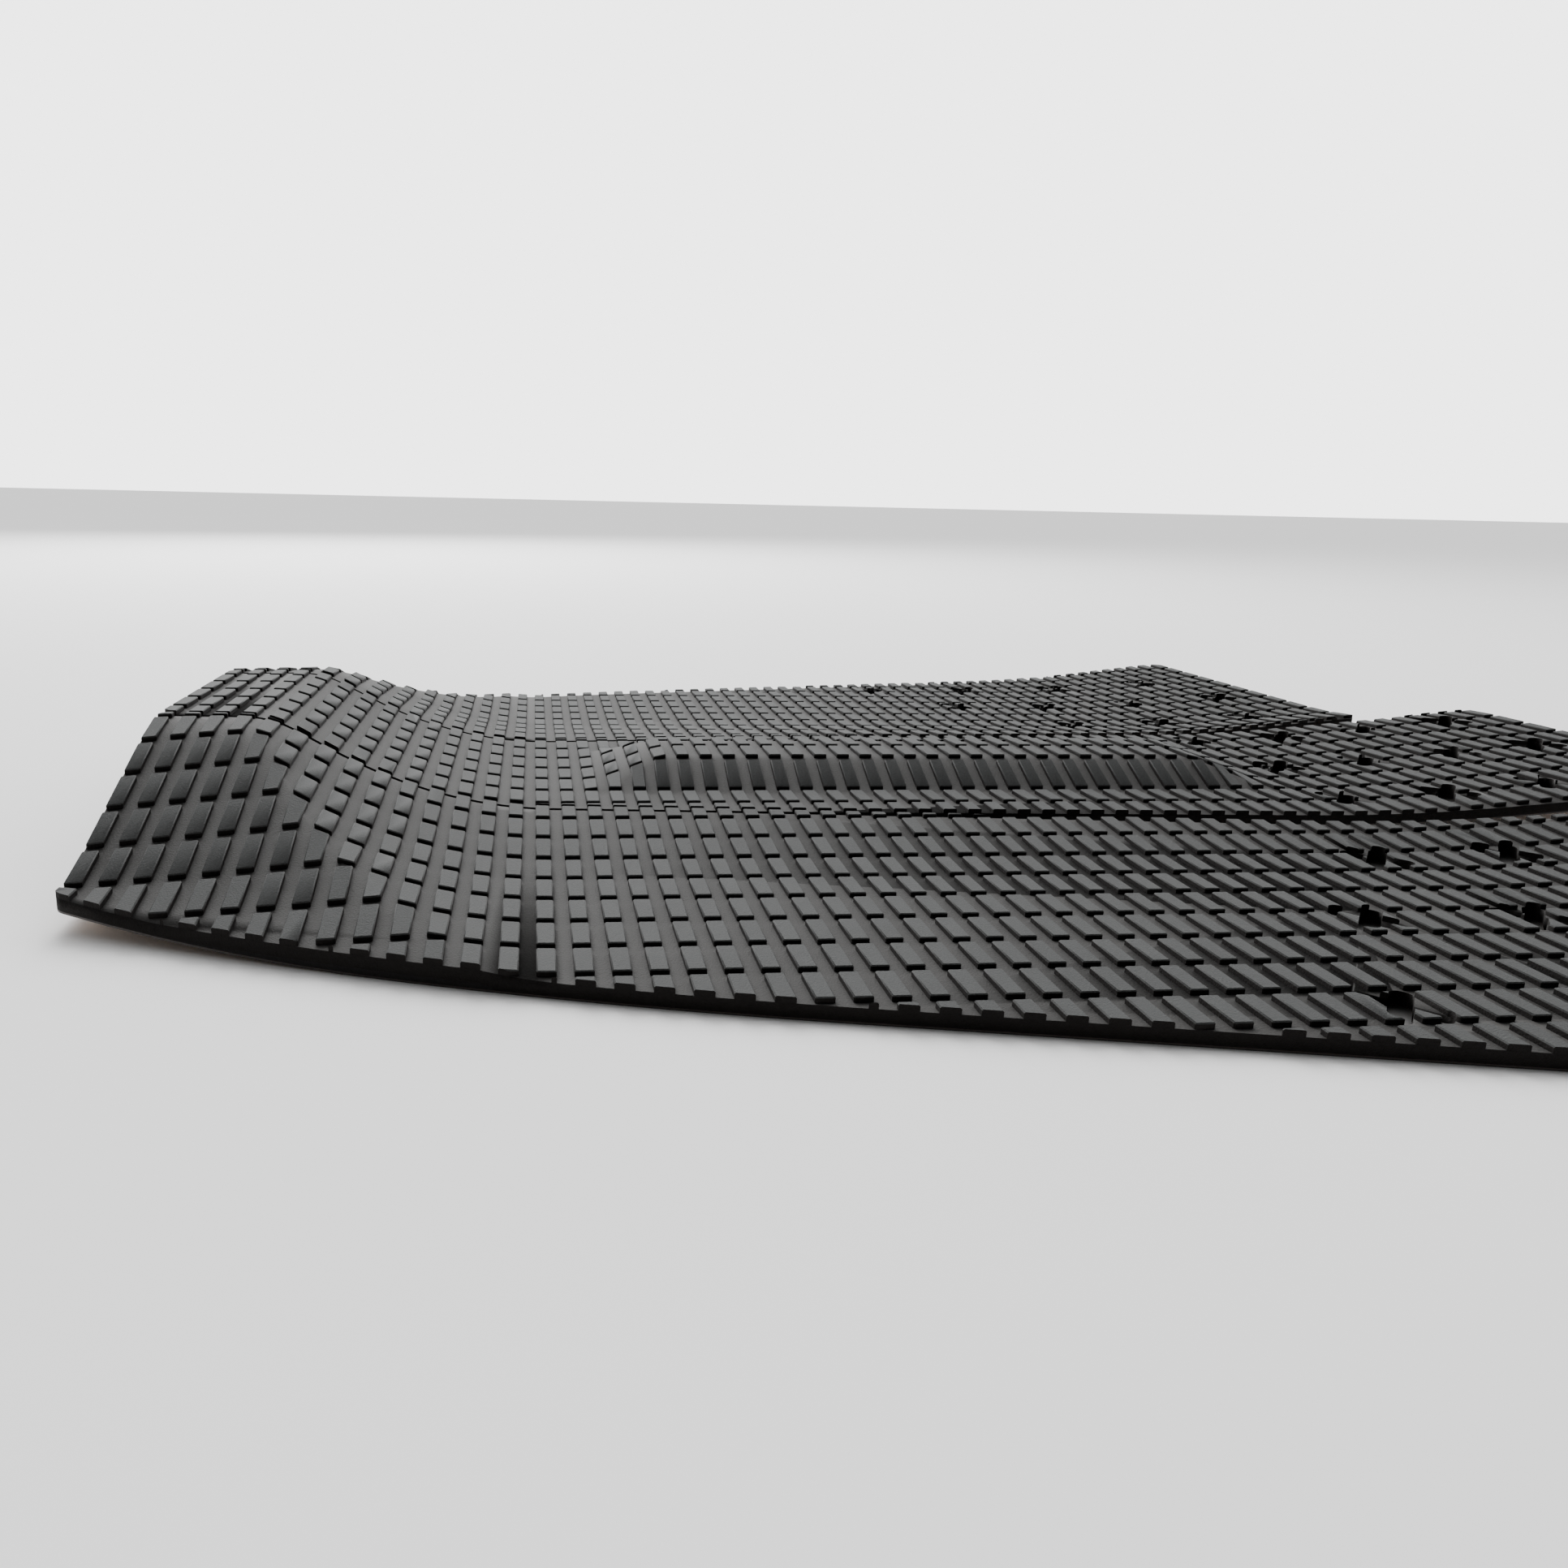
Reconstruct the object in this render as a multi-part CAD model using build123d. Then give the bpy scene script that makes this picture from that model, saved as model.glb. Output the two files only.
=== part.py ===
from build123d import *
import os
from math import atan, cos, degrees, radians, sin, sqrt, tan

# Three-piece EVA foam traction pad with a raised tail kick and an arch bar.
#
# The pad has the shape it takes on a board's deck, which is a little crowned
# along the middle and lifts at both ends.
#
# Frame, in millimetres: +X runs to the nose end, +Y to the left, +Z up.
# x = 0 is halfway along the centre panel, y = 0 is the centre line, and z = 0
# is the underside of the side panels' release liners, where they lie flat.

# ---------------------------------------------------------------- layers
liner_thickness = 0.12
film_thickness = 0.18
deck_thickness = 2.7

# ---------------------------------------------------------------- outline
centre_length = 310.0        # tail edge to nose edge of the centre panel
side_setback = 24.0          # the side panels stop this far short of it
tail_half_width = 78.0       # centre line to the outer tail corner
nose_half_width = 151.0      # centre line to the outer nose corner
shoulder_from_tail = 105.0   # here the curved hip runs into the straight rail
rail_angle = 11.8            # degrees that the straight rail splays outwards
seam_half_tail = 25.7        # inner edge of a side panel, at the tail
seam_half_nose = 46.6        # inner edge of a side panel, at its nose edge
seam_gap = 1.4               # gap beside the kick
centre_half_nose = 39.0      # half width of the centre panel at its nose edge
centre_knee_from_tail = 121.0  # the centre panel's edge turns in here
tip_radius = 5.0             # outer nose corner
corner_radius = 2.5          # every other corner
knee_radius = 400.0          # the soft turn in the centre panel's edge

# ---------------------------------------------------------------- underside
crown = 2.2                  # the middle lies this much higher
crown_flat_half = 33.0       # level to here from the centre line
crown_end_half = 60.0        # and falls to nothing by here
tail_lift = 2.9              # the deck kicks up a little at the tail
rocker_length = 51.0         # along the length, over which it does
centre_curl_start = 92.0     # from the nose edge: the nose starts to lift
side_curl_start = 73.0
curl_length = 38.0           # length of the bend, straight beyond it
centre_curl_angle = 5.4      # degrees, at the nose edge
side_curl_angle = 4.6

# ---------------------------------------------------------------- tail kick
kick_height = 16.5           # crest above the deck beside it
crest_length = 19.8          # tail edge to the top corner of the ramp
ramp_angle = 29.0
ramp_top_radius = 19.0
ramp_foot_radius = 82.0
side_crest_half = 35.5       # half width of the crest, at the top corner of the ramp
side_slope_angle = 21.0      # fall of the kick towards the rail
side_slope_turn = 15.5       # degrees in plan between that slope and the x axis
side_top_radius = 29.0
side_foot_radius = 82.0
wedge_edge = 0.5             # the wedges are skived to this edge, not to nothing

# ---------------------------------------------------------------- arch bar
arch_height = 5.0
arch_start_from_tail = 79.6  # foot of the bar's tail end
arch_stop_from_nose = 89.2   # foot of its nose end
arch_end_run = 13.4          # length of the slope at each end
arch_top_half = 8.6
arch_foot_half = 18.4
arch_end_radius = 20.0       # eases both corners of each end slope
arch_flank_radius = 8.0      # and of each flank

# ---------------------------------------------------------------- perforations
cross_span = 11.6            # length of each arm pair of a cross
cross_arm_width = 2.9
cross_arm_angle = 51.0       # degrees between an arm and the x axis
# Each row: distance from the centre line, first cross from the nose edge, pitch, count.
centre_cross_rows = [(0.0, 14.5, 20.6, 4), (27.5, 14.5, 21.8, 4)]
side_cross_rows = [(59.0, 22.4, 25.0, 3), (87.4, 14.2, 26.8, 4), (116.6, 22.3, 30.0, 4)]

# ---------------------------------------------------------------- derived
bond_thickness = liner_thickness + film_thickness
pad_thickness = bond_thickness + deck_thickness
tail_x = -centre_length / 2
nose_x = centre_length / 2
side_nose_x = nose_x - side_setback
side_length = centre_length - side_setback
middle_z = pad_thickness + crown
crest_z = middle_z + kick_height
ramp_foot_x = tail_x + crest_length + kick_height / tan(radians(ramp_angle))
side_fall = (crest_z - pad_thickness) / tan(radians(side_slope_angle))
past = 30.0                  # how far cutting bodies run past what they cut
wide = nose_half_width + past
centre_span = (-centre_half_nose - 5, centre_half_nose + 5)
side_span = (seam_half_tail - 5, wide)


def crown_at(y):
    """Height that the crown adds at a distance from the centre line."""
    share = (crown_end_half - abs(y)) / (crown_end_half - crown_flat_half)
    return crown * min(1, max(0, share))


def across(face, span):
    """Run a face drawn in (x, z) across part of the pad, following the crown."""
    creases = (-crown_end_half, -crown_flat_half, crown_flat_half, crown_end_half)
    stops = [span[0]] + [y for y in creases if span[0] < y < span[1]] + [span[1]]
    body = None
    for start, end in zip(stops, stops[1:]):
        step = Vector(0, end - start, crown_at(end) - crown_at(start))
        upright = Pos(0, start, crown_at(start)) * (Plane.XZ * face)
        run = extrude(upright, amount=step.length, dir=step)
        body = run if body is None else body + run
    return body


def straight_across(face):
    """Stand a face drawn in (x, z) upright and run it level across the whole pad."""
    return extrude(Plane.XZ * face, amount=wide, both=True)


def underside_path(height, curl_x, curl_angle):
    """The underside's line in (x, z), raised by height, from tail to nose."""
    rocker_x = tail_x + rocker_length
    curl_end_x = curl_x + curl_length
    curl_rise = curl_length * tan(radians(curl_angle) / 2)
    run_out = nose_x + past - curl_end_x
    end = (curl_end_x + run_out, height + curl_rise + run_out * tan(radians(curl_angle)))
    return [
        TangentArc((rocker_x, height), (tail_x, height + tail_lift), tangent=(-1, 0)),
        Line((rocker_x, height), (curl_x, height)),
        TangentArc((curl_x, height), (curl_end_x, height + curl_rise), tangent=(1, 0)),
        Line((curl_end_x, height + curl_rise), end),
    ], (tail_x, height + tail_lift), end


def layer(low, high, curl, span):
    """A body between two heights above the underside, across a panel."""
    lower, lower_tail, lower_nose = underside_path(low, *curl)
    upper, upper_tail, upper_nose = underside_path(high, *curl)
    ends = [Line(lower_tail, upper_tail), Line(lower_nose, upper_nose)]
    return across(make_face(lower + upper + ends), span)


def rounded(points, radii):
    """A polygon with a radius on each corner; zero leaves the corner sharp."""
    face = make_face(Polyline(*points, close=True))
    for point, radius in zip(points, radii):
        if radius > 0:
            face = fillet(face.vertices().sort_by_distance((*point, 0))[0], radius)
    return face


def below(face, x_limit):
    """The part of a side-view face that lies before x_limit."""
    keep = Pos(x_limit - wide, 0) * Rectangle(2 * wide, 4 * crest_z)
    return face & keep


def ramp_body(drop, x_limit, span):
    """Everything under the ramp and crest, lowered by drop and cut off at x_limit."""
    base = -past
    top, foot = pad_thickness + kick_height - drop, pad_thickness - drop
    points = [
        (tail_x - past, base),
        (tail_x - past, top),
        (tail_x + crest_length, top),
        (ramp_foot_x, foot),
        (ramp_foot_x + 2 * past, foot),
        (ramp_foot_x + 2 * past, base),
    ]
    face = rounded(points, [0, 0, ramp_top_radius, ramp_foot_radius, 0, 0])
    return across(below(face, x_limit), span)


def side_slope_body(drop, y_limit):
    """Everything under the kick's fall to the left rail, for the left panel."""
    base = -past
    top, foot = crest_z - drop, pad_thickness - drop
    points = [
        (-past, base),
        (-past, top),
        (0, top),
        (side_fall, foot),
        (side_fall + 2 * past, foot),
        (side_fall + 2 * past, base),
    ]
    face = rounded(points, [0, 0, side_top_radius, side_foot_radius, 0, 0])
    face = below(face, y_limit)
    start = Vector(tail_x + crest_length, side_crest_half, 0)
    along = Vector(cos(radians(side_slope_turn)), sin(radians(side_slope_turn)), 0)
    across = Vector(-along.Y, along.X, 0)
    plane = Plane(origin=start, x_dir=across, z_dir=across.cross(Vector(0, 0, 1)))
    return extrude(plane * face, amount=2 * wide, both=True)


def edge_beyond(radius, angle, skived):
    """How far a rounded foot reaches past its corner: fully, or where still wedge_edge high."""
    end = radius * tan(radians(angle) / 2)
    return end - sqrt(2 * radius * wedge_edge) if skived else end


def plan_body(face):
    """Run an outline drawn in (x, y) up through the whole pad."""
    return extrude(Pos(0, 0, -past) * face, amount=crest_z + 2 * past)


def side_outline():
    """Plan of the left panel: tail edge, hip arc, straight rail, nose edge, seam."""
    shoulder_x = tail_x + shoulder_from_tail
    slope = tan(radians(rail_angle))
    shoulder = (shoulder_x, nose_half_width - (side_nose_x - shoulder_x) * slope)
    tail_corner, tip = (tail_x, tail_half_width), (side_nose_x, nose_half_width)
    seam_tail, seam_nose = (tail_x, seam_half_tail), (side_nose_x, seam_half_nose)
    edges = [
        Line(seam_tail, tail_corner),
        TangentArc(shoulder, tail_corner, tangent=(-1, -slope)),
        Line(shoulder, tip),
        Line(tip, seam_nose),
        Line(seam_nose, seam_tail),
    ]
    face = make_face(edges)
    for point, radius in ((tip, tip_radius), (tail_corner, corner_radius),
                          (seam_tail, corner_radius), (seam_nose, corner_radius)):
        face = fillet(face.vertices().sort_by_distance((*point, 0))[0], radius)
    return face


def centre_outline():
    """Plan of the centre panel: beside the kick its edges follow the seams."""
    seam_slope = (seam_half_nose - seam_half_tail) / side_length
    half_tail = seam_half_tail - seam_gap
    half_knee = half_tail + centre_knee_from_tail * seam_slope
    knee_x = tail_x + centre_knee_from_tail
    left = [(tail_x, half_tail), (knee_x, half_knee), (nose_x, centre_half_nose)]
    right = [(x, -y) for x, y in reversed(left)]
    radii = [corner_radius, knee_radius, corner_radius]
    return rounded(left + right, radii + radii)


def cross():
    """One cross-shaped perforation: two round-ended slots through each other."""
    arm = SlotOverall(cross_span, cross_arm_width)
    return Rot(0, 0, cross_arm_angle) * arm + Rot(0, 0, -cross_arm_angle) * arm


def crosses(rows, edge_x):
    """Cutting bodies for the crosses of one panel, in rows back from its nose edge."""
    spots = [
        (edge_x - first - pitch * i, y)
        for y, first, pitch, count in rows
        for i in range(count)
    ]
    return [plan_body(Pos(x, y) * cross()) for x, y in spots]


def arch_body(drop, skived):
    """The arch bar, lowered by drop, with its thin outer edge cut off if skived."""
    base = -past
    top, foot = middle_z + arch_height - drop, middle_z - drop
    start, stop = tail_x + arch_start_from_tail, nose_x - arch_stop_from_nose
    side_points = [
        (start - past, base),
        (start - past, foot),
        (start, foot),
        (start + arch_end_run, top),
        (stop - arch_end_run, top),
        (stop, foot),
        (stop + past, foot),
        (stop + past, base),
    ]
    side_face = rounded(side_points, [0, 0] + 4 * [arch_end_radius] + [0, 0])
    length = stop - start + 2 * edge_beyond(arch_end_radius, end_angle, skived)
    side_face = side_face & (Pos((start + stop) / 2, 0) * Rectangle(length, 4 * crest_z))
    end_points = [
        (-arch_foot_half - past, base),
        (-arch_foot_half - past, foot),
        (-arch_foot_half, foot),
        (-arch_top_half, top),
        (arch_top_half, top),
        (arch_foot_half, foot),
        (arch_foot_half + past, foot),
        (arch_foot_half + past, base),
    ]
    end_face = rounded(end_points, [0, 0] + 4 * [arch_flank_radius] + [0, 0])
    width = 2 * (arch_foot_half + edge_beyond(arch_flank_radius, flank_angle, skived))
    end_face = end_face & Rectangle(width, 4 * crest_z)
    along = extrude(Plane.YZ * end_face, amount=nose_x, both=True)
    return straight_across(side_face) & along


end_angle = degrees(atan(arch_height / arch_end_run))
flank_angle = degrees(atan(arch_height / (arch_foot_half - arch_top_half)))
centre_curl = (nose_x - centre_curl_start, centre_curl_angle)
side_curl = (side_nose_x - side_curl_start, side_curl_angle)
ramp_skive = ramp_foot_x + edge_beyond(ramp_foot_radius, ramp_angle, True)
side_skive = side_fall + edge_beyond(side_foot_radius, side_slope_angle, True)


def panel(outline, curl, span, holes, kick, wedge, arch=None, core=None):
    """The layers of one panel, from the top down, as a list of solids."""
    below_deck = floor_below(bond_thickness, curl, span)
    deck = layer(bond_thickness, pad_thickness, curl, span) + (kick - below_deck)
    wedge = (wedge - below_deck) & outline
    if arch:
        deck = deck + (arch - below_deck)
        core = core - below_deck
        deck = deck - core
    deck = (deck & outline) - wedge
    film = layer(liner_thickness, bond_thickness, curl, span) & outline
    liner = layer(0, liner_thickness, curl, span) & outline
    for hole in holes:
        deck, film = deck - hole, film - hole
    return deck, wedge, film, liner, core


def floor_below(height, curl, span):
    """Everything below a height above the underside."""
    lower, tail, nose = underside_path(height, *curl)
    deep = -2 * past
    far_tail = (tail[0] - 2 * past, tail[1])
    outer = Polyline(tail, far_tail, (far_tail[0], deep), (nose[0], deep), nose)
    return across(make_face(lower + [outer]), span)


def mirrored(solid):
    """The same piece for the right-hand panel."""
    return mirror(solid, about=Plane.XZ)


slope_above = side_slope_body(0, wide)
slope_under = side_slope_body(deck_thickness, side_skive)

centre_deck, centre_wedge, centre_film, centre_liner, arch_core = panel(
    plan_body(centre_outline()),
    centre_curl,
    centre_span,
    crosses(centre_cross_rows, nose_x)
    + crosses([(-y, *rest) for y, *rest in centre_cross_rows if y > 0], nose_x),
    ramp_body(0, ramp_foot_x + past, centre_span),
    ramp_body(deck_thickness, ramp_skive, centre_span),
    arch_body(0, False),
    arch_body(deck_thickness, True),
)
left_deck, left_wedge, left_film, left_liner, _ = panel(
    plan_body(side_outline()),
    side_curl,
    side_span,
    crosses(side_cross_rows, side_nose_x),
    ramp_body(0, ramp_foot_x + past, side_span) & slope_above,
    ramp_body(deck_thickness, ramp_skive, side_span) & slope_under,
)

nodes = {
    "centre_deck": centre_deck,
    "centre_kick_wedge": centre_wedge,
    "arch_core": arch_core,
    "centre_adhesive": centre_film,
    "centre_liner": centre_liner,
}
for name, piece in (("deck", left_deck), ("kick_wedge", left_wedge),
                    ("adhesive", left_film), ("liner", left_liner)):
    nodes["left_" + name] = piece
    nodes["right_" + name] = mirrored(piece)

os.makedirs("parts", exist_ok=True)
for name, piece in nodes.items():
    export_step(piece, f"parts/{name}.step")
    print(name, round(piece.volume), "mm3")
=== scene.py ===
# %% [markdown]
# # A foam traction pad in three panels
#
# This notebook dresses a CAD model of a board sports traction pad: three
# panels of moulded foam sheet, a raised kick at the tail and a low bar under
# the arch of the foot. The CAD gives every outline, thickness and height.
# What it leaves out is the tread, a grid of small foam blocks with narrow
# cuts along the pad and wide channels across it, and that is what this
# lesson makes with Geometry Nodes.

# %% Load the CAD frame
from math import cos, radians, sin

import bmesh
import bpy
import numpy as np
from mathutils import Matrix, Vector


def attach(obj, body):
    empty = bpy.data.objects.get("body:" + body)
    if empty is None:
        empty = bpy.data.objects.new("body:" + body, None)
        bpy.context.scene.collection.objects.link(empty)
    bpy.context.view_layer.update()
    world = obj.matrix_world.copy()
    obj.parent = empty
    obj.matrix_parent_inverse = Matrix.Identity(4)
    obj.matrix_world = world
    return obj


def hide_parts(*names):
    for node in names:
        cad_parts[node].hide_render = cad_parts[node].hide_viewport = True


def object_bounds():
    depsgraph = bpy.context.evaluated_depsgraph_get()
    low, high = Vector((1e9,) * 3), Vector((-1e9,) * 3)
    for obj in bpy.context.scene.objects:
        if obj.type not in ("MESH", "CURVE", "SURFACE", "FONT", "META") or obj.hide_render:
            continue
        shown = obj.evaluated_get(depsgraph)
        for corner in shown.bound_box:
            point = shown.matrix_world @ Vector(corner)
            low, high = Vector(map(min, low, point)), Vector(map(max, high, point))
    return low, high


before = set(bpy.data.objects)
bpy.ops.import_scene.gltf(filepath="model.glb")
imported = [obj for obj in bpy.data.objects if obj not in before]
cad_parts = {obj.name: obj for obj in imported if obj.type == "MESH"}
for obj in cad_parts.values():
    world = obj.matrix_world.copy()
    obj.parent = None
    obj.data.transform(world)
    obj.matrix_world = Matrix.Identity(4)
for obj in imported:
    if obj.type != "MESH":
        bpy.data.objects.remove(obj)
cad_box = [list(map(float, corner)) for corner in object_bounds()]
MM = 0.001
PANELS = ("right", "centre", "left")
print("CAD pieces:", ", ".join(sorted(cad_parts)))

# %% [markdown]
# ## Sizes of the tread
#
# The mould that presses the tread is one plate for the whole pad, so a single
# grid runs over all three panels and every panel edge cuts through it where
# it happens to fall. One block sits on x = 0, and one cut runs along the
# centre line, so the columns are odd in number and the rows even. The blocks
# are short along the pad and wide across it. A face counts as part of a
# sheet's upper side if its normal has at least STEEPEST_TOP upward in it.

# %% Tread sizes, in metres
BLOCK_PITCH = 4.8 * MM
ROW_PITCH = 9.4 * MM
BLOCK_LENGTH = 2.55 * MM
CUT_WIDTH = 1.65 * MM
GROOVE_DEPTH = 0.85 * MM
EDGE_BREAK = 0.17 * MM
ROOT = 0.06 * MM
BLOCK_COLUMNS = 67
BLOCK_ROWS = 34
STEEPEST_TOP = 0.3
BLOCK_WIDTH = ROW_PITCH - CUT_WIDTH
print(f"a block is {BLOCK_LENGTH / MM:.2f} x {BLOCK_WIDTH / MM:.2f} mm, {GROOVE_DEPTH / MM:.2f} mm high")

# %% [markdown]
# ## One block
#
# A moulded foam block has a flat sanded top and slightly broken edges. It is
# repeated about seventeen hundred times, so it has only one sloping face along
# each edge. Its foot goes a hair below the channel floor, so that no gap
# shows under it.

# %% Build the block


def tread_block():
    """A block standing on z = 0, with its top and upright edges broken."""
    bm = bmesh.new()
    bmesh.ops.create_cube(bm, size=1.0)
    bmesh.ops.scale(bm, vec=(BLOCK_LENGTH, BLOCK_WIDTH, GROOVE_DEPTH + ROOT), verts=bm.verts)
    bmesh.ops.translate(bm, vec=(0, 0, (GROOVE_DEPTH - ROOT) / 2), verts=bm.verts)
    broken = [e for e in bm.edges if max(v.co.z for v in e.verts) > 0]
    bmesh.ops.bevel(
        bm, geom=broken, offset=EDGE_BREAK, offset_type="OFFSET", segments=1,
        profile=0.5, affect="EDGES", clamp_overlap=True,
    )
    mesh = bpy.data.meshes.new("tread_block")
    bm.to_mesh(mesh)
    bm.free()
    block = bpy.data.objects.new("tread_block", mesh)
    bpy.context.scene.collection.objects.link(block)
    print("faces on one block:", len(mesh.polygons))
    return block


block = tread_block()

# %% [markdown]
# ## The die that cuts each panel
#
# A panel is stamped out of the treaded sheet with a die, which cuts straight
# through any block on its line, and through the perforations too. The upper
# face of the CAD sheet has exactly that outline. Pressed flat and given some
# height, it becomes a closed body that does the same job here: what lies
# inside it is kept.

# %% Make a cutting body from each sheet's outline


def cutting_body(panel):
    """A flat-topped body with the panel's outline and perforations."""
    bm = bmesh.new()
    bm.from_mesh(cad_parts[f"{panel}_deck"].data)
    bmesh.ops.remove_doubles(bm, verts=bm.verts, dist=1e-6)
    bm.normal_update()
    bmesh.ops.delete(bm, geom=[f for f in bm.faces if f.normal.z < STEEPEST_TOP], context="FACES")
    for vert in bm.verts:
        vert.co.z = -2 * ROOT
    raised = bmesh.ops.extrude_face_region(bm, geom=list(bm.faces), use_keep_orig=True)
    top = [g for g in raised["geom"] if isinstance(g, bmesh.types.BMVert)]
    bmesh.ops.translate(bm, vec=(0, 0, GROOVE_DEPTH + 4 * ROOT), verts=top)
    bmesh.ops.recalc_face_normals(bm, faces=bm.faces)
    open_edges = sum(not e.is_manifold for e in bm.edges)
    mesh = bpy.data.meshes.new(f"{panel}_die")
    bm.to_mesh(mesh)
    bm.free()
    die = bpy.data.objects.new(f"{panel}_die", mesh)
    bpy.context.scene.collection.objects.link(die)
    print(f"{panel} die: {len(mesh.polygons)} faces, {open_edges} open edges")
    return die


# %% [markdown]
# ## A small language for node trees
#
# Writing out a node tree takes many lines of the same kind. This helper adds
# a node, sets its options, and fills each input with either a plain value or
# another node's output.

# %% Node tree helper


class Tree:
    """Adds nodes to a node tree in single lines."""

    def __init__(self, tree):
        self.tree = tree

    def add(self, kind, inputs=None, **options):
        node = self.tree.nodes.new(kind)
        for name, value in options.items():
            setattr(node, name, value)
        for key, value in (inputs or {}).items():
            if isinstance(value, bpy.types.NodeSocket):
                self.tree.links.new(value, node.inputs[key])
            else:
                node.inputs[key].default_value = value
        return node

    def math(self, operation, a, b=0.0, c=0.0, clamp=False):
        node = self.add("ShaderNodeMath", {0: a, 1: b, 2: c}, operation=operation)
        if clamp:
            node.use_clamp = True
        return node.outputs[0]

    def port(self, name, kind, value=None, way="INPUT"):
        socket = self.tree.interface.new_socket(name=name, in_out=way, socket_type=kind)
        if value is not None:
            socket.default_value = value
        return socket


# %% [markdown]
# ## The tread as a Geometry Nodes tree
#
# The tree follows the way the real sheet is made. It lays one grid of blocks
# over the whole pad and keeps those near the panel. It trims them with the
# die. Then it lowers the CAD sheet's upper face by the groove depth, which
# makes the channel floor, and stands the blocks on it. A ray straight down
# on to the CAD surface tells each point how high the kick, the bar or the
# flat deck is there. A point exactly on the panel's edge can miss the
# surface, so it asks again from four places a twentieth of a millimetre away.

# %% Build the tree


def tread_tree():
    tree = bpy.data.node_groups.new("tread_on_sheet", "GeometryNodeTree")
    t = Tree(tree)
    t.port("Die", "NodeSocketGeometry")
    t.port("Sheet", "NodeSocketObject")
    t.port("Block", "NodeSocketObject")
    t.port("Foam", "NodeSocketMaterial")
    t.port("Block Pitch", "NodeSocketFloat", BLOCK_PITCH)
    t.port("Row Pitch", "NodeSocketFloat", ROW_PITCH)
    t.port("Columns", "NodeSocketInt", BLOCK_COLUMNS)
    t.port("Rows", "NodeSocketInt", BLOCK_ROWS)
    t.port("Groove Depth", "NodeSocketFloat", GROOVE_DEPTH)
    t.port("Reach", "NodeSocketFloat", BLOCK_WIDTH)
    t.port("Seed", "NodeSocketInt", 7)
    t.port("Geometry", "NodeSocketGeometry", way="OUTPUT")
    given = t.add("NodeGroupInput").outputs

    sheet = t.add("GeometryNodeObjectInfo", {"Object": given["Sheet"]}).outputs["Geometry"]
    normal = t.add("GeometryNodeInputNormal").outputs["Normal"]
    up = t.add("ShaderNodeSeparateXYZ", {0: normal}).outputs["Z"]
    facing_up = t.add("FunctionNodeCompare", {0: up, 1: STEEPEST_TOP}, operation="GREATER_THAN").outputs[0]
    top = t.add("GeometryNodeSeparateGeometry", {0: sheet, 1: facing_up}, domain="FACE").outputs[0]
    welded = t.add("GeometryNodeMergeByDistance", {"Geometry": sheet, "Distance": 1e-6}).outputs[0]
    down = t.math("MULTIPLY", given["Groove Depth"], -1.0)
    drop = t.add("ShaderNodeCombineXYZ", {"Z": down}).outputs[0]
    floor = t.add(
        "GeometryNodeSetPosition", {"Geometry": welded, "Selection": facing_up, "Offset": drop}
    ).outputs[0]
    floor = t.add("GeometryNodeSetShadeSmooth", {"Geometry": floor, "Shade Smooth": True}).outputs[0]
    for name in ("tread", "tone"):
        floor = t.add(
            "GeometryNodeStoreNamedAttribute", {"Geometry": floor, "Name": name, "Value": 0.0},
            data_type="FLOAT", domain="POINT",
        ).outputs[0]

    across = t.math("MULTIPLY", t.math("SUBTRACT", given["Columns"], 1.0), given["Block Pitch"])
    along = t.math("MULTIPLY", t.math("SUBTRACT", given["Rows"], 1.0), given["Row Pitch"])
    grid = t.add(
        "GeometryNodeMeshGrid",
        {"Size X": across, "Size Y": along, "Vertices X": given["Columns"],
         "Vertices Y": given["Rows"]},
    ).outputs["Mesh"]
    near = t.add(
        "GeometryNodeProximity", {"Geometry": given["Die"]}, target_element="FACES"
    ).outputs["Distance"]
    kept = t.add("FunctionNodeCompare", {0: near, 1: given["Reach"]}, operation="LESS_THAN").outputs[0]
    shape = t.add("GeometryNodeObjectInfo", {"Object": given["Block"]}).outputs["Geometry"]
    blocks = t.add(
        "GeometryNodeInstanceOnPoints", {"Points": grid, "Selection": kept, "Instance": shape}
    ).outputs[0]
    blocks = t.add("GeometryNodeRealizeInstances", {"Geometry": blocks}).outputs[0]
    cut = t.add("GeometryNodeMeshBoolean", operation="INTERSECT", solver="MANIFOLD")
    tree.links.new(blocks, cut.inputs["Mesh 2"])
    tree.links.new(given["Die"], cut.inputs["Mesh 2"])
    blocks = cut.outputs["Mesh"]

    place = t.add("GeometryNodeInputPosition").outputs[0]
    flat = t.add("ShaderNodeSeparateXYZ", {0: place}).outputs
    level = t.math("DIVIDE", flat["Z"], given["Groove Depth"], clamp=True)
    blocks = t.add(
        "GeometryNodeStoreNamedAttribute", {"Geometry": blocks, "Name": "tread", "Value": level},
        data_type="FLOAT", domain="POINT",
    ).outputs[0]
    island = t.add("GeometryNodeInputMeshIsland").outputs["Island Index"]
    tone = t.add("FunctionNodeRandomValue", {"ID": island, "Seed": given["Seed"]}, data_type="FLOAT")
    blocks = t.add(
        "GeometryNodeStoreNamedAttribute",
        {"Geometry": blocks, "Name": "tone", "Value": tone.outputs[1]},
        data_type="FLOAT", domain="POINT",
    ).outputs[0]

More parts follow.
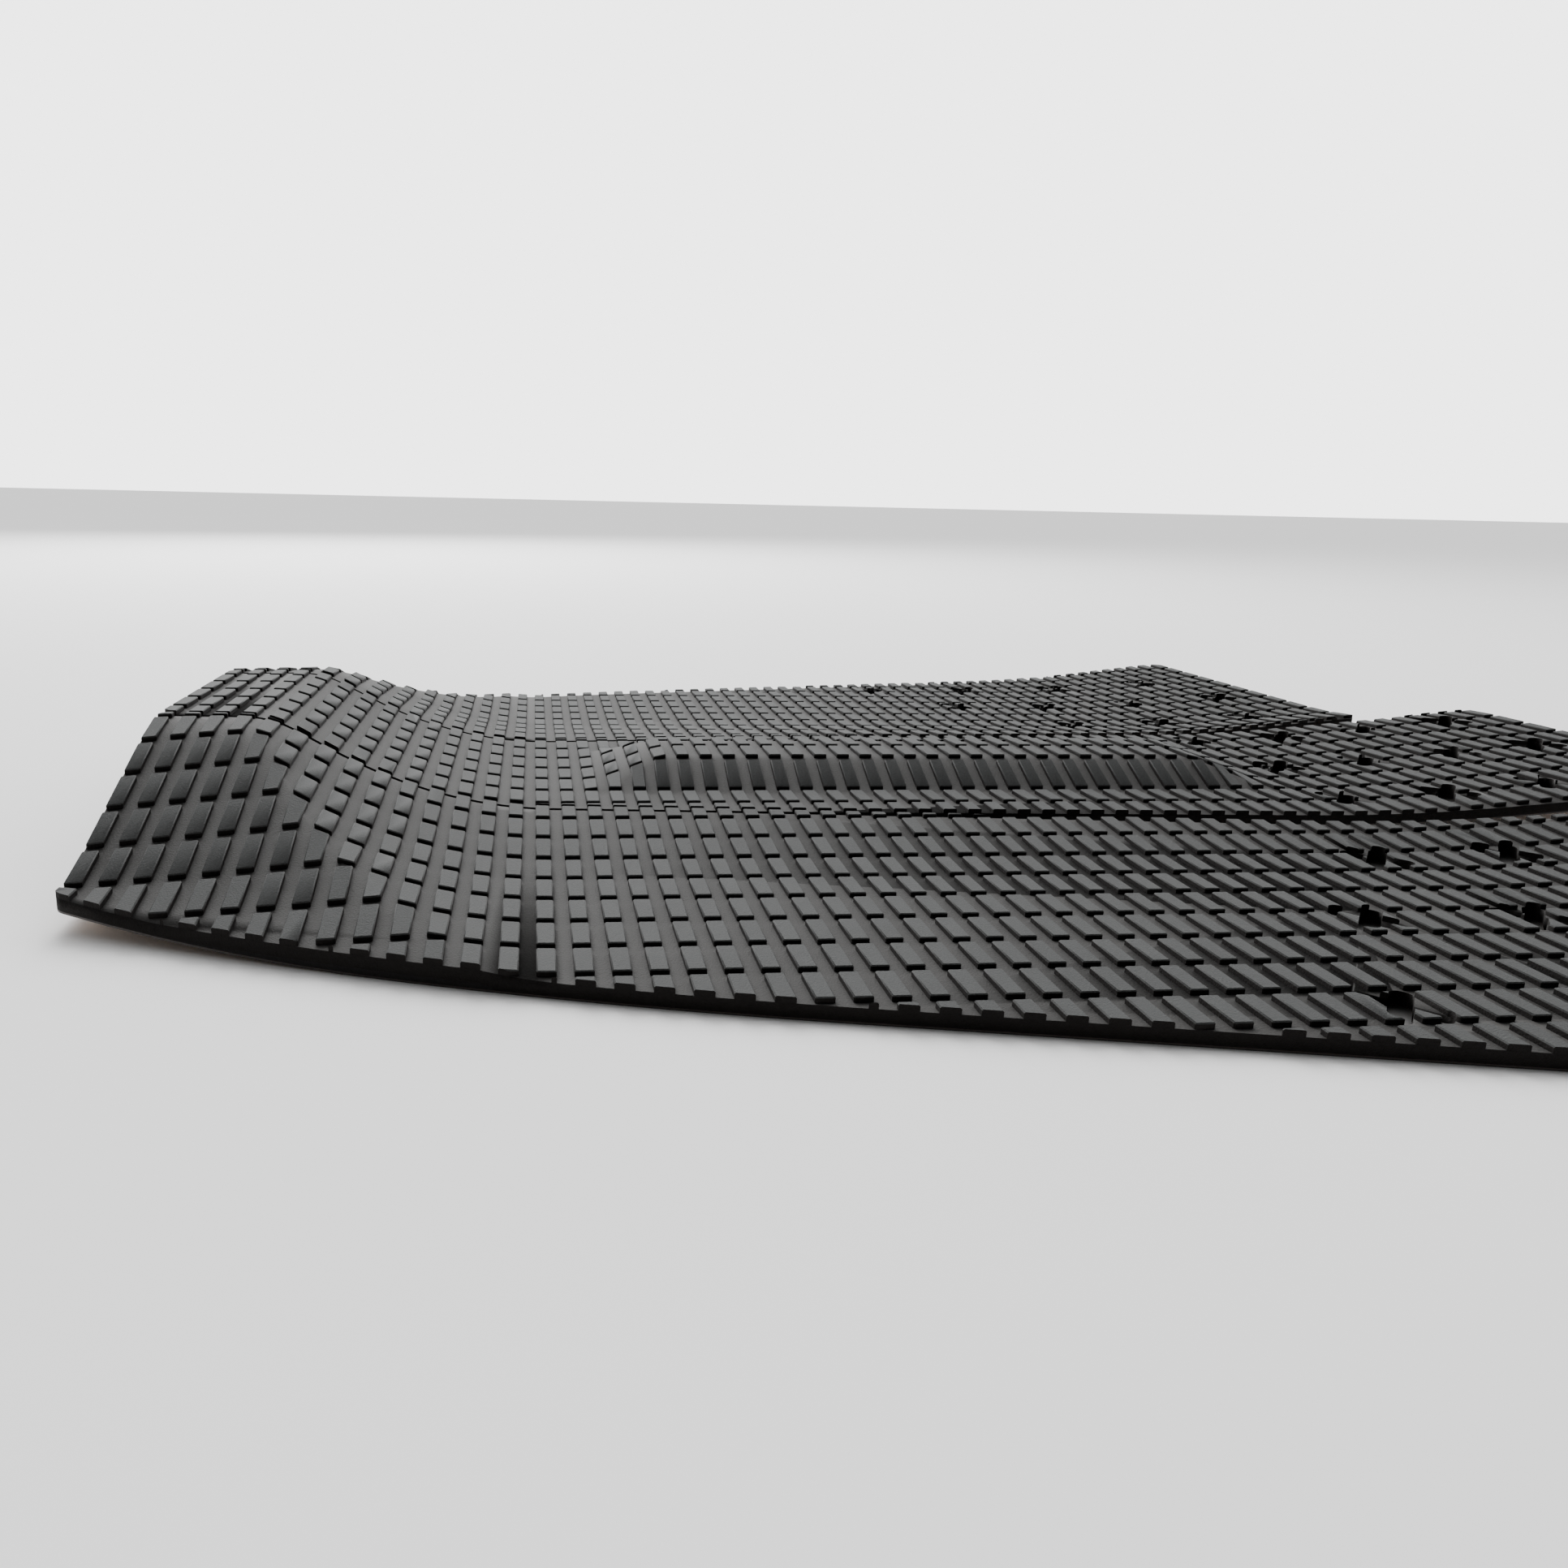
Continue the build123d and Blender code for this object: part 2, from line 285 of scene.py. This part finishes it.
    height = None
    nudge = 0.05 * MM
    for dx, dy in ((nudge, nudge), (-nudge, nudge), (nudge, -nudge), (-nudge, -nudge), (0, 0)):
        eye = t.add("ShaderNodeCombineXYZ", {
            "X": t.math("ADD", flat["X"], dx), "Y": t.math("ADD", flat["Y"], dy), "Z": 0.1,
        }).outputs[0]
        ray = t.add("GeometryNodeRaycast", {
            "Target Geometry": top, "Source Position": eye,
            "Ray Direction": (0.0, 0.0, -1.0), "Ray Length": 0.2,
        }).outputs
        found = t.add("ShaderNodeSeparateXYZ", {0: ray["Hit Position"]}).outputs["Z"]
        if height is None:
            height = found
        else:
            pick = t.add("GeometryNodeSwitch", {0: ray["Is Hit"], 1: height, 2: found}, input_type="FLOAT")
            height = pick.outputs[0]
    lift = t.math("ADD", height, down)
    blocks = t.add(
        "GeometryNodeSetPosition",
        {"Geometry": blocks, "Offset": t.add("ShaderNodeCombineXYZ", {"Z": lift}).outputs[0]},
    ).outputs[0]
    blocks = t.add("GeometryNodeSetShadeSmooth", {"Geometry": blocks, "Shade Smooth": False}).outputs[0]

    whole = t.add("GeometryNodeJoinGeometry")
    tree.links.new(floor, whole.inputs[0])
    tree.links.new(blocks, whole.inputs[0])
    real = t.add("GeometryNodeRealizeInstances", {"Geometry": whole.outputs[0]}).outputs[0]
    done = t.add("GeometryNodeSetMaterial", {"Geometry": real, "Material": given["Foam"]}).outputs[0]
    out = t.add("NodeGroupOutput")
    tree.links.new(done, out.inputs[0])
    return tree


treads = tread_tree()
print("tread tree:", len(treads.nodes), "nodes")

# %% [markdown]
# ## Shared surface effects
#
# Closed-cell foam looks nearly even from a distance, and shows fine pores
# and a cloudy tone close up. Each effect is its own small group, so that
# the deck foam and the denser core foam can use it with other values.

# %% Foam grain group


def foam_grain():
    """Fine pores and a soft cloudiness: a mask, a tone and a height."""
    tree = bpy.data.node_groups.new("foam_grain", "ShaderNodeTree")
    t = Tree(tree)
    t.port("Place", "NodeSocketVector")
    t.port("Cell Size", "NodeSocketFloat", 0.35 * MM)
    t.port("Cloud Size", "NodeSocketFloat", 14.0 * MM)
    for name in ("Pores", "Cloud", "Height"):
        t.port(name, "NodeSocketFloat", way="OUTPUT")
    given = t.add("NodeGroupInput").outputs
    fine = t.math("DIVIDE", 1.0, given["Cell Size"])
    cells = t.add("ShaderNodeTexVoronoi", {"Vector": given["Place"], "Scale": fine}).outputs
    grit = t.add(
        "ShaderNodeTexNoise",
        {"Vector": given["Place"], "Scale": fine, "Detail": 3.0, "Roughness": 0.7},
    ).outputs[0]
    large = t.math("DIVIDE", 1.0, given["Cloud Size"])
    cloud = t.add(
        "ShaderNodeTexNoise", {"Vector": given["Place"], "Scale": large, "Detail": 4.0}
    ).outputs[0]
    pores = t.math("SUBTRACT", 1.0, t.math("MULTIPLY", cells["Distance"], 1.5, clamp=True))
    mixed = t.math("ADD", t.math("MULTIPLY", pores, 0.45), t.math("MULTIPLY", grit, 0.55))
    out = t.add("NodeGroupOutput")
    tree.links.new(mixed, out.inputs["Pores"])
    tree.links.new(cloud, out.inputs["Cloud"])
    tree.links.new(t.math("ADD", mixed, grit), out.inputs["Height"])
    return tree


grain = foam_grain()

# %% [markdown]
# ## Sanded tops
#
# The skin of the foam is buffed off the block tops, which leaves them a
# little lighter and cooler than the channel floors. The upright walls are
# painted far darker, as painted shade for faces turned away from the light.
# The tread tree stored how high each point is on its block, so this group
# only has to turn that, and the way the surface faces, into a colour.

# %% Tread colour group


def tread_colour():
    """Colour from a block's foot to its top, with painted shade on the upright walls."""
    tree = bpy.data.node_groups.new("tread_colour", "ShaderNodeTree")
    t = Tree(tree)
    t.port("Level", "NodeSocketFloat", 0.0)
    t.port("Facing Up", "NodeSocketFloat", 1.0)
    t.port("Tone", "NodeSocketFloat", 0.5)
    t.port("Pores", "NodeSocketFloat", 0.5)
    t.port("Cloud", "NodeSocketFloat", 0.5)
    # Painted shade: faces that do not face up get this far darker colour.
    t.port("Side Colour", "NodeSocketColor", (0.03, 0.025, 0.022, 1))
    t.port("Floor Colour", "NodeSocketColor", (0.06, 0.058, 0.056, 1))
    t.port("Top Colour", "NodeSocketColor", (0.08, 0.08, 0.08, 1))
    t.port("Color", "NodeSocketColor", way="OUTPUT")
    t.port("Roughness", "NodeSocketFloat", way="OUTPUT")
    given = t.add("NodeGroupInput").outputs
    # How far a face turns up decides how much painted shade it gets.
    lit_part = t.add("ShaderNodeMapRange", {0: given["Facing Up"], 1: 0.35, 2: 0.8}).outputs[0]
    flat = t.add("ShaderNodeMix", {
        0: given["Level"], 6: given["Floor Colour"], 7: given["Top Colour"],
    }, data_type="RGBA").outputs[2]
    body = t.add("ShaderNodeMix", {
        0: lit_part, 6: given["Side Colour"], 7: flat,
    }, data_type="RGBA").outputs[2]
    shade = t.math("ADD", t.math("MULTIPLY", given["Pores"], 0.5), t.math("MULTIPLY", given["Tone"], 0.1))
    shade = t.math("ADD", shade, t.math("MULTIPLY_ADD", given["Cloud"], 0.4, 0.48))
    grey = t.add("ShaderNodeCombineColor", {0: shade, 1: shade, 2: shade}).outputs[0]
    colour = t.add(
        "ShaderNodeMix", {0: 1.0, 6: body, 7: grey}, data_type="RGBA", blend_type="MULTIPLY"
    ).outputs[2]
    rough = t.math("MULTIPLY_ADD", given["Pores"], 0.15, 0.72)
    out = t.add("NodeGroupOutput")
    tree.links.new(colour, out.inputs["Color"])
    tree.links.new(rough, out.inputs["Roughness"])
    return tree


tread_paint = tread_colour()

# %% [markdown]
# ## The foams
#
# Both foams are the same rubbery plastic. The deck sheet gets the tread
# colours and a strong fine bump. The cores are skived from a denser block
# and only show as a thin dark line at the tail and in the seams.

# %% Deck and core foam


def principled(name, **sockets):
    """A new material, its tree helper and its shader, with plain values set."""
    material = bpy.data.materials.new(name)
    material.use_nodes = True
    t = Tree(material.node_tree)
    shader = material.node_tree.nodes["Principled BSDF"]
    for key, value in sockets.items():
        shader.inputs[key.replace("_", " ")].default_value = value
    return material, t, shader


def foam(name, shaded_side, floor, top, cell, strength):
    material, t, shader = principled(name, Specular_IOR_Level=0.2)
    place = t.add("ShaderNodeTexCoord").outputs["Object"]
    pores = t.add("ShaderNodeGroup", node_tree=grain)
    t.tree.links.new(place, pores.inputs["Place"])
    pores.inputs["Cell Size"].default_value = cell
    paint = t.add("ShaderNodeGroup", node_tree=tread_paint)
    for key, attribute in (("Level", "tread"), ("Tone", "tone")):
        read = t.add("ShaderNodeAttribute", attribute_name=attribute)
        t.tree.links.new(read.outputs["Fac"], paint.inputs[key])
    for key in ("Pores", "Cloud"):
        t.tree.links.new(pores.outputs[key], paint.inputs[key])
    facing = t.add("ShaderNodeNewGeometry").outputs["True Normal"]
    t.tree.links.new(t.add("ShaderNodeSeparateXYZ", {0: facing}).outputs["Z"], paint.inputs["Facing Up"])
    for key, value in (("Side Colour", shaded_side), ("Floor Colour", floor), ("Top Colour", top)):
        paint.inputs[key].default_value = (*value, 1)
    bump = t.add("ShaderNodeBump", {"Strength": strength, "Distance": 0.12 * MM})
    t.tree.links.new(pores.outputs["Height"], bump.inputs["Height"])
    t.tree.links.new(paint.outputs["Color"], shader.inputs["Base Color"])
    t.tree.links.new(paint.outputs["Roughness"], shader.inputs["Roughness"])
    t.tree.links.new(bump.outputs[0], shader.inputs["Normal"])
    return material


# The side colours are painted shade for every face that does not face up.
deck_foam = foam(
    "deck_foam", shaded_side=(0.0065, 0.005, 0.0042), floor=(0.0355, 0.0345, 0.033), top=(0.0405, 0.0425, 0.042),
    cell=0.3 * MM, strength=0.5,
)
core_foam = foam(
    "core_foam", shaded_side=(0.010, 0.009, 0.009), floor=(0.02, 0.019, 0.018), top=(0.02, 0.019, 0.018),
    cell=0.5 * MM, strength=0.8,
)
print("foams:", deck_foam.name, core_foam.name)

# %% [markdown]
# ## Film and liner
#
# Under the foam is a thin sticky film, and under that a sheet of brown
# silicone-coated paper that is peeled off before use. Only their edges show
# from above, but their undersides are the whole back of the pad. Paper has
# long fibres, so its noise is stretched, and the silicone gives it a light
# gloss. Its upper side and edges are painted near-black as painted shade. The
# crosses are punched through the foam and the film only, so that painted
# shade is at the bottom of each.

# %% Film and liner materials


def film_material():
    material, t, shader = principled("adhesive", Roughness=0.4, Specular_IOR_Level=0.5)
    place = t.add("ShaderNodeTexCoord").outputs["Object"]
    blotch = t.add("ShaderNodeTexNoise", {"Vector": place, "Scale": 120.0, "Detail": 5.0}).outputs[0]
    colour = t.add("ShaderNodeMix", {
        0: blotch, 6: (0.022, 0.016, 0.013, 1), 7: (0.045, 0.032, 0.026, 1),
    }, data_type="RGBA").outputs[2]
    t.tree.links.new(colour, shader.inputs["Base Color"])
    bump = t.add("ShaderNodeBump", {"Strength": 0.3, "Distance": 0.05 * MM, "Height": blotch})
    t.tree.links.new(bump.outputs[0], shader.inputs["Normal"])
    return material


def liner_material():
    material, t, shader = principled("liner_paper", Roughness=0.5, Coat_Weight=0.25, Coat_Roughness=0.35)
    place = t.add("ShaderNodeTexCoord").outputs["Object"]
    stretched = t.add("ShaderNodeMapping", {"Vector": place, "Scale": (0.25, 1.0, 1.0)}).outputs[0]
    fibre = t.add(
        "ShaderNodeTexNoise", {"Vector": stretched, "Scale": 900.0, "Detail": 6.0, "Roughness": 0.65}
    ).outputs[0]
    cloud = t.add("ShaderNodeTexNoise", {"Vector": place, "Scale": 45.0, "Detail": 3.0}).outputs[0]
    mixed = t.math("ADD", t.math("MULTIPLY", fibre, 0.6), t.math("MULTIPLY", cloud, 0.4))
    spread = t.add("ShaderNodeMapRange", {0: mixed, 1: 0.35, 2: 0.65}).outputs[0]
    colour = t.add("ShaderNodeMix", {
        0: spread, 6: (0.20, 0.12, 0.065, 1), 7: (0.33, 0.21, 0.12, 1),
    }, data_type="RGBA").outputs[2]
    # Painted shade: each face of the paper that does not face down is mixed to near-black, so the bottoms of
    # the crosses read dark.
    facing = t.add("ShaderNodeNewGeometry").outputs["True Normal"]
    upward = t.add("ShaderNodeSeparateXYZ", {0: facing}).outputs["Z"]
    painted_hole_shade = t.add("ShaderNodeMapRange", {0: upward, 1: -0.5, 2: -0.2}).outputs[0]
    colour = t.add("ShaderNodeMix", {
        0: painted_hole_shade, 6: colour, 7: (0.008, 0.007, 0.006, 1),
    }, data_type="RGBA").outputs[2]
    t.tree.links.new(colour, shader.inputs["Base Color"])
    bump = t.add("ShaderNodeBump", {"Strength": 0.25, "Distance": 0.05 * MM, "Height": fibre})
    t.tree.links.new(bump.outputs[0], shader.inputs["Normal"])
    return material


sticky_film = film_material()
kraft_liner = liner_material()
FINISHES = {"kick_wedge": core_foam, "arch_core": core_foam, "adhesive": sticky_film, "liner": kraft_liner}
for name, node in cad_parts.items():
    for ending, material in FINISHES.items():
        if name.endswith(ending):
            node.data.materials.clear()
            node.data.materials.append(material)

# %% [markdown]
# ## Stamping out the three panels
#
# Each panel's die gets the tree as a modifier. The result becomes a plain
# mesh that stands for the CAD sheet, and the die and the block are thrown
# away.

# %% Make the treaded sheets


def set_input(modifier, name, value):
    """Sets a tree input by its socket's identifier."""
    for item in modifier.node_group.interface.items_tree:
        if item.item_type == "SOCKET" and item.in_out == "INPUT" and item.name == name:
            modifier[item.identifier] = value


def treaded_sheet(panel):
    die = cutting_body(panel)
    modifier = die.modifiers.new("tread", "NODES")
    modifier.node_group = treads
    set_input(modifier, "Sheet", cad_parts[f"{panel}_deck"])
    set_input(modifier, "Block", block)
    set_input(modifier, "Foam", deck_foam)
    set_input(modifier, "Seed", 11 + PANELS.index(panel))
    depsgraph = bpy.context.evaluated_depsgraph_get()
    mesh = bpy.data.meshes.new_from_object(die.evaluated_get(depsgraph))
    mesh.name = f"{panel}_treaded_sheet"
    mesh.set_sharp_from_angle(angle=radians(40))
    sheet = bpy.data.objects.new(mesh.name, mesh)
    bpy.context.scene.collection.objects.link(sheet)
    bpy.data.objects.remove(die)
    mesh.calc_loop_triangles()
    print(f"{sheet.name}: {len(mesh.loop_triangles)} triangles")
    return sheet


for panel in PANELS:
    sheet = treaded_sheet(panel)
    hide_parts(f"{panel}_deck")
    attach(sheet, "root")
bpy.data.objects.remove(block)

# %% [markdown]
# ## A pale floor
#
# The pad lies on a plain pale floor that is large enough to fill the view.

# %% Floor


def pale_floor():
    material, t, shader = principled("studio_floor", Roughness=0.9, Specular_IOR_Level=0.1)
    place = t.add("ShaderNodeTexCoord").outputs["Object"]
    faint = t.add("ShaderNodeTexNoise", {"Vector": place, "Scale": 6.0}).outputs[0]
    colour = t.add("ShaderNodeMix", {
        0: faint, 6: (0.93, 0.93, 0.93, 1), 7: (0.95, 0.95, 0.95, 1),
    }, data_type="RGBA").outputs[2]
    t.tree.links.new(colour, shader.inputs["Base Color"])
    bm = bmesh.new()
    bmesh.ops.create_grid(bm, x_segments=8, y_segments=8, size=8.0)
    mesh = bpy.data.meshes.new("studio_floor")
    bm.to_mesh(mesh)
    bm.free()
    mesh.materials.append(material)
    floor = bpy.data.objects.new("studio_floor", mesh)
    bpy.context.scene.collection.objects.link(floor)
    for vert in mesh.vertices:
        vert.co.z = cad_box[0][2] - 0.02 * MM


pale_floor()

# %% [markdown]
# ## Light and camera
#
# A white backdrop and a soft light high above the far side make the block
# tops lighter than the faces turned to the camera, which face a dim room. The camera is low and close to the
# right-hand edge, near the tail, and looks across the pad.

# %% Lights


def area_light(name, place, aim, size, power):
    light = bpy.data.lights.new(name, "AREA")
    light.shape = "DISK"
    light.size = size
    light.energy = power
    lamp = bpy.data.objects.new(name, light)
    bpy.context.scene.collection.objects.link(lamp)
    lamp.location = place
    lamp.rotation_euler = (Vector(aim) - Vector(place)).to_track_quat("-Z", "Y").to_euler()


area_light("back_soft_light", (-0.3, 0.95, 0.7), (0, 0, 0), 0.8, 18)
area_light("top_soft_light", (-0.25, 0.6, 1.2), (0, 0, 0), 1.0, 1.5)


def studio_world():
    """A white backdrop beyond the pad and a dim room behind the camera."""
    world = bpy.data.worlds.new("studio")
    world.use_nodes = True
    t = Tree(world.node_tree)
    place = t.add("ShaderNodeTexCoord").outputs["Generated"]
    beyond = t.add("ShaderNodeSeparateXYZ", {0: place}).outputs["Y"]
    lit = t.add("ShaderNodeMapRange", {0: beyond, 1: 0.0, 2: 0.7}).outputs[0]
    shade = t.add("ShaderNodeMix", {0: lit, 6: (0.03, 0.03, 0.03, 1), 7: (1, 1, 1, 1)}, data_type="RGBA")
    backdrop = world.node_tree.nodes["Background"]
    t.tree.links.new(shade.outputs[2], backdrop.inputs["Color"])
    backdrop.inputs["Strength"].default_value = 3.8
    return world


bpy.context.scene.world = studio_world()

# %% Camera
CAMERA_PLACE = (-87.9 * MM, -239.9 * MM, 61.8 * MM)
YAW = radians(6.04)
TILT = radians(14.02)
ROLL = radians(-1.34)

ahead = Vector((sin(YAW) * cos(TILT), cos(YAW) * cos(TILT), -sin(TILT)))
level_right = Vector((cos(YAW), -sin(YAW), 0))
down = ahead.cross(level_right)
right = cos(ROLL) * level_right + sin(ROLL) * down
upward = sin(ROLL) * level_right - cos(ROLL) * down
turn = Matrix((right, upward, -ahead)).transposed().to_4x4()
camera = bpy.data.objects.new("camera", bpy.data.cameras.new("camera"))
camera.matrix_world = Matrix.Translation(CAMERA_PLACE) @ turn
camera.data.lens = 26.76
camera.data.sensor_width = 36.0
camera.data.shift_x = 0.083
camera.data.clip_start = 0.01
bpy.context.scene.collection.objects.link(camera)
bpy.context.scene.camera = camera

# %% [markdown]
# ## Finish
#
# The view layer is brought up to date at the end.

# %% Finish
bpy.context.view_layer.update()
